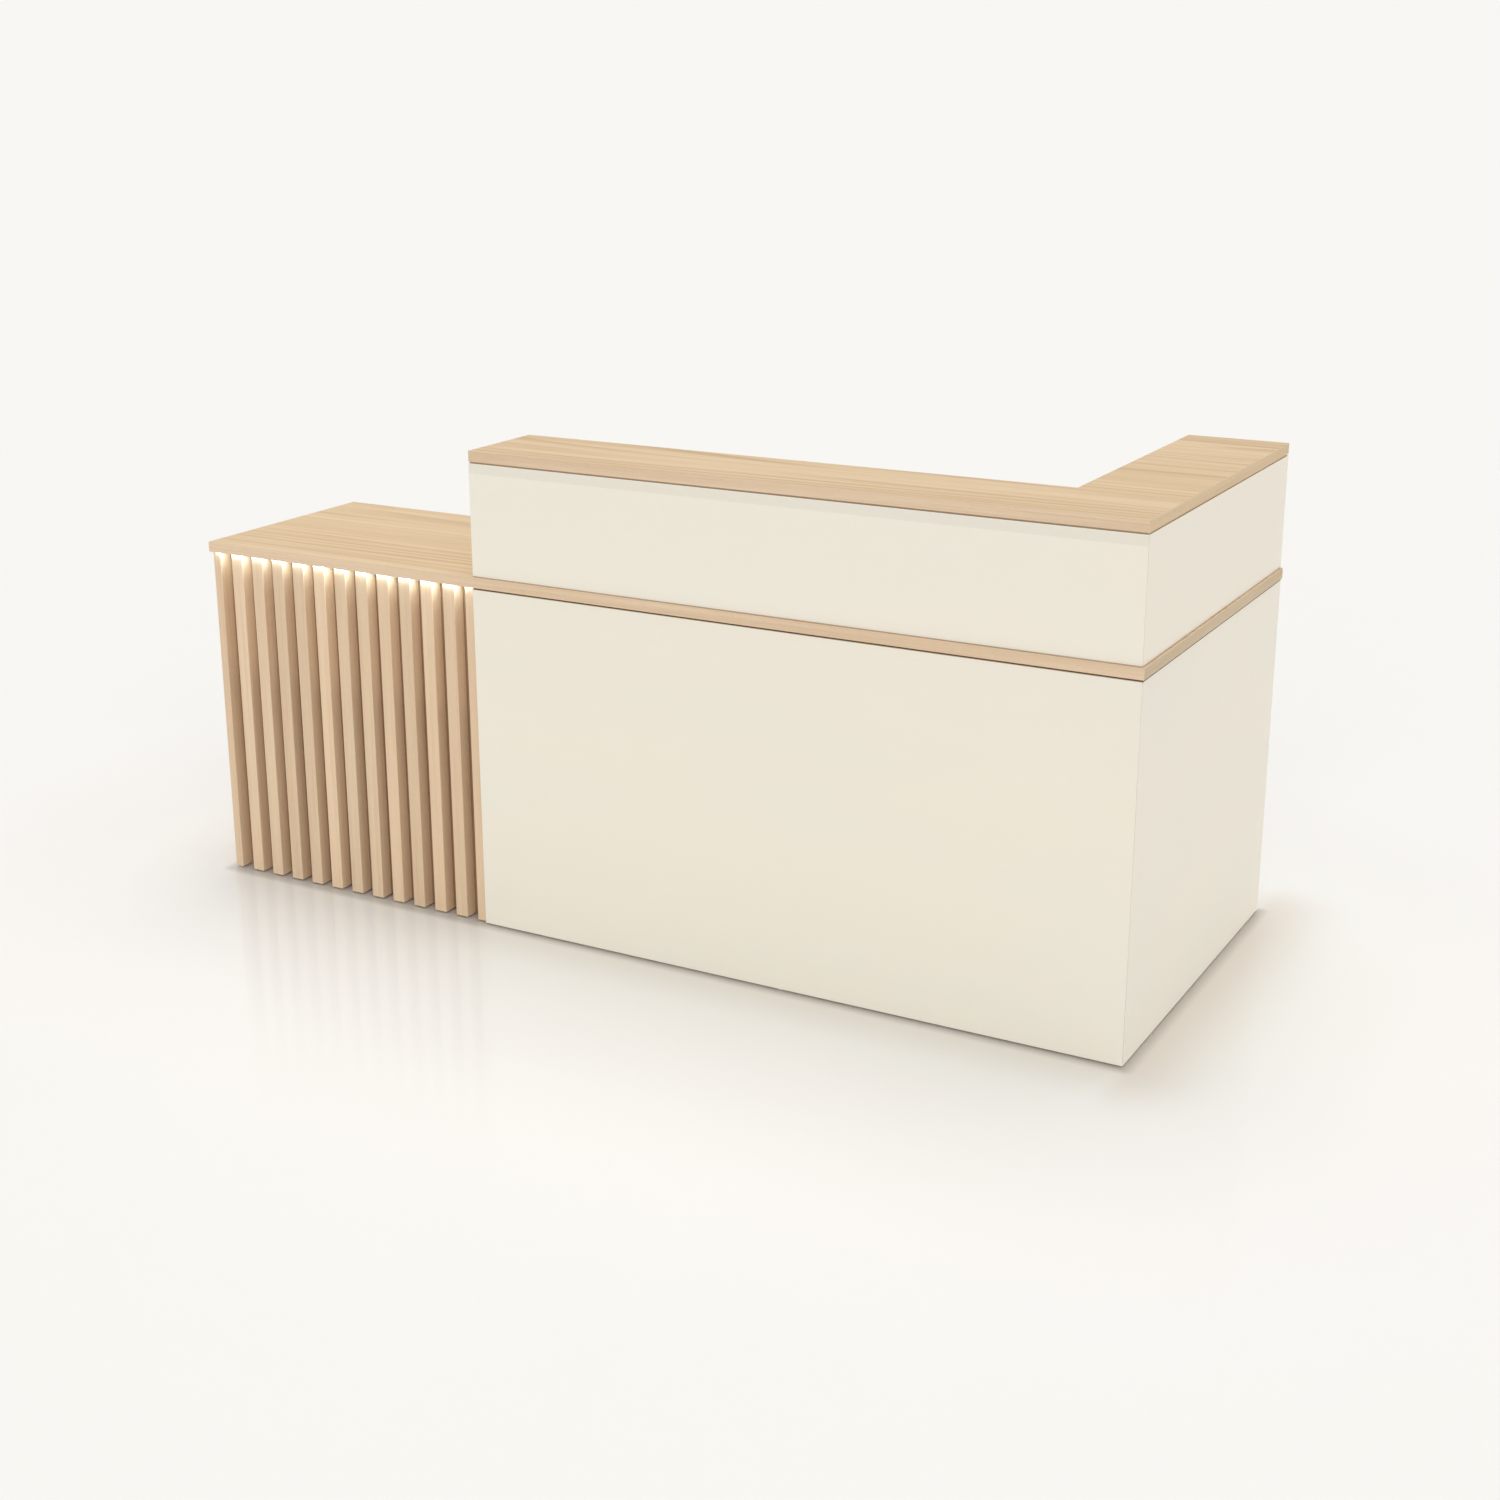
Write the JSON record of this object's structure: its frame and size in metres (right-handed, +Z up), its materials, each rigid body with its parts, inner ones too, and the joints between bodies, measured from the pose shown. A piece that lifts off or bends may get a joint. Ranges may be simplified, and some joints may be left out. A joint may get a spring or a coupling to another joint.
{
  "type": "reception desk",
  "caption": "L-shaped reception desk: tall ivory block with a wood counter, lower wood desk with lit vertical slats, drawers and open knee space on the staff side.",
  "frame": {"origin": "on the floor, under the middle of the desk's bounding box", "axes": "+X to the visitor's right along the front, +Y from the visitor's side to the staff side, +Z up"},
  "size_m": [2.097, 0.853, 1.005],
  "materials": {
    "oak": "light oak faced board, satin, grain along the length",
    "ivory": "ivory faced board, satin",
    "drawer_board": "white coated board, matt",
    "steel": "brushed",
    "zinc_steel": "zinc plated",
    "aluminium": "anodised",
    "opal": "opal, lit from behind",
    "white_plastic": "moulded, fine texture",
    "grey_plastic": "moulded, fine texture",
    "black_plastic": "moulded, satin"
  },
  "bodies": {
    "desk": {"worktop": "oak", "counter_top": "oak", "left_gable": "oak", "slat_backing": "oak", "slat_01": "oak", "slat_02": "oak", "slat_03": "oak", "slat_04": "oak", "slat_05": "oak", "slat_06": "oak", "slat_07": "oak", "slat_08": "oak", "slat_09": "oak", "slat_10": "oak", "slat_11": "oak", "slat_12": "oak", "lower_front_panel": "ivory", "lower_end_panel": "ivory", "upper_front_panel": "ivory", "upper_end_panel": "ivory", "upper_left_cap": "ivory", "upper_rear_cap": "ivory", "counter_support_1": "ivory", "counter_support_2": "ivory", "counter_support_3": "ivory", "mid_gable": "ivory", "wing_rear_panel": "ivory", "cabinet_bottom": "ivory", "cabinet_partition": "ivory", "cabinet_runner_upper_left": "steel", "cabinet_runner_upper_right": "steel", "cabinet_runner_lower_left": "steel", "cabinet_runner_lower_right": "steel", "led_profile": "aluminium", "led_tape": "white_plastic", "led_diffuser": "opal", "led_driver": "white_plastic", "led_lead": "white_plastic", "grommet_ring": "grey_plastic"},
    "drawer_upper": {"drawer_front_upper": "ivory", "drawer_box_upper": "drawer_board", "drawer_handle_upper": "steel", "drawer_runner_upper_left": "steel", "drawer_runner_upper_right": "steel"},
    "drawer_lower": {"drawer_front_lower": "ivory", "drawer_box_lower": "drawer_board", "drawer_handle_lower": "steel", "drawer_runner_lower_left": "steel", "drawer_runner_lower_right": "steel"},
    "cable_cap": {"grommet_cap": "grey_plastic"},
    "light_rocker": {"led_rocker": "black_plastic"},
    "foot_gable_front": {"foot_gable_front": "zinc_steel"},
    "foot_gable_rear": {"foot_gable_rear": "zinc_steel"},
    "foot_mid_front": {"foot_mid_front": "zinc_steel"},
    "foot_mid_rear": {"foot_mid_rear": "zinc_steel"},
    "foot_front_panel": {"foot_front_panel": "zinc_steel"},
    "foot_end_front": {"foot_end_front": "zinc_steel"},
    "foot_end_rear": {"foot_end_rear": "zinc_steel"},
    "foot_wing": {"foot_wing": "zinc_steel"}
  },
  "joints": [
    {"name": "drawer_upper_slide", "type": "slide", "parent": "desk", "child": "drawer_upper", "axis": [0, 1, 0], "range_m": [0, 0.28]},
    {"name": "drawer_lower_slide", "type": "slide", "parent": "desk", "child": "drawer_lower", "axis": [0, 1, 0], "range_m": [0, 0.28]},
    {"name": "cable_cap_turn", "type": "hinge", "parent": "desk", "child": "cable_cap", "pos_m": [0.097, -0.1395, 0.75], "axis": [0, 0, 1], "continuous": true},
    {"name": "light_rocker_tilt", "type": "hinge", "parent": "desk", "child": "light_rocker", "pos_m": [-0.9505, -0.1232, 0.7127], "axis": [1, 0, 0], "range_deg": [-16, 0]},
    {"name": "foot_gable_front_screw", "type": "slide", "parent": "desk", "child": "foot_gable_front", "axis": [0, 0, -1], "range_m": [0, 0.012]},
    {"name": "foot_gable_rear_screw", "type": "slide", "parent": "desk", "child": "foot_gable_rear", "axis": [0, 0, -1], "range_m": [0, 0.012]},
    {"name": "foot_mid_front_screw", "type": "slide", "parent": "desk", "child": "foot_mid_front", "axis": [0, 0, -1], "range_m": [0, 0.012]},
    {"name": "foot_mid_rear_screw", "type": "slide", "parent": "desk", "child": "foot_mid_rear", "axis": [0, 0, -1], "range_m": [0, 0.012]},
    {"name": "foot_front_panel_screw", "type": "slide", "parent": "desk", "child": "foot_front_panel", "axis": [0, 0, -1], "range_m": [0, 0.012]},
    {"name": "foot_end_front_screw", "type": "slide", "parent": "desk", "child": "foot_end_front", "axis": [0, 0, -1], "range_m": [0, 0.012]},
    {"name": "foot_end_rear_screw", "type": "slide", "parent": "desk", "child": "foot_end_rear", "axis": [0, 0, -1], "range_m": [0, 0.012]},
    {"name": "foot_wing_screw", "type": "slide", "parent": "desk", "child": "foot_wing", "axis": [0, 0, -1], "range_m": [0, 0.012]}
  ]
}
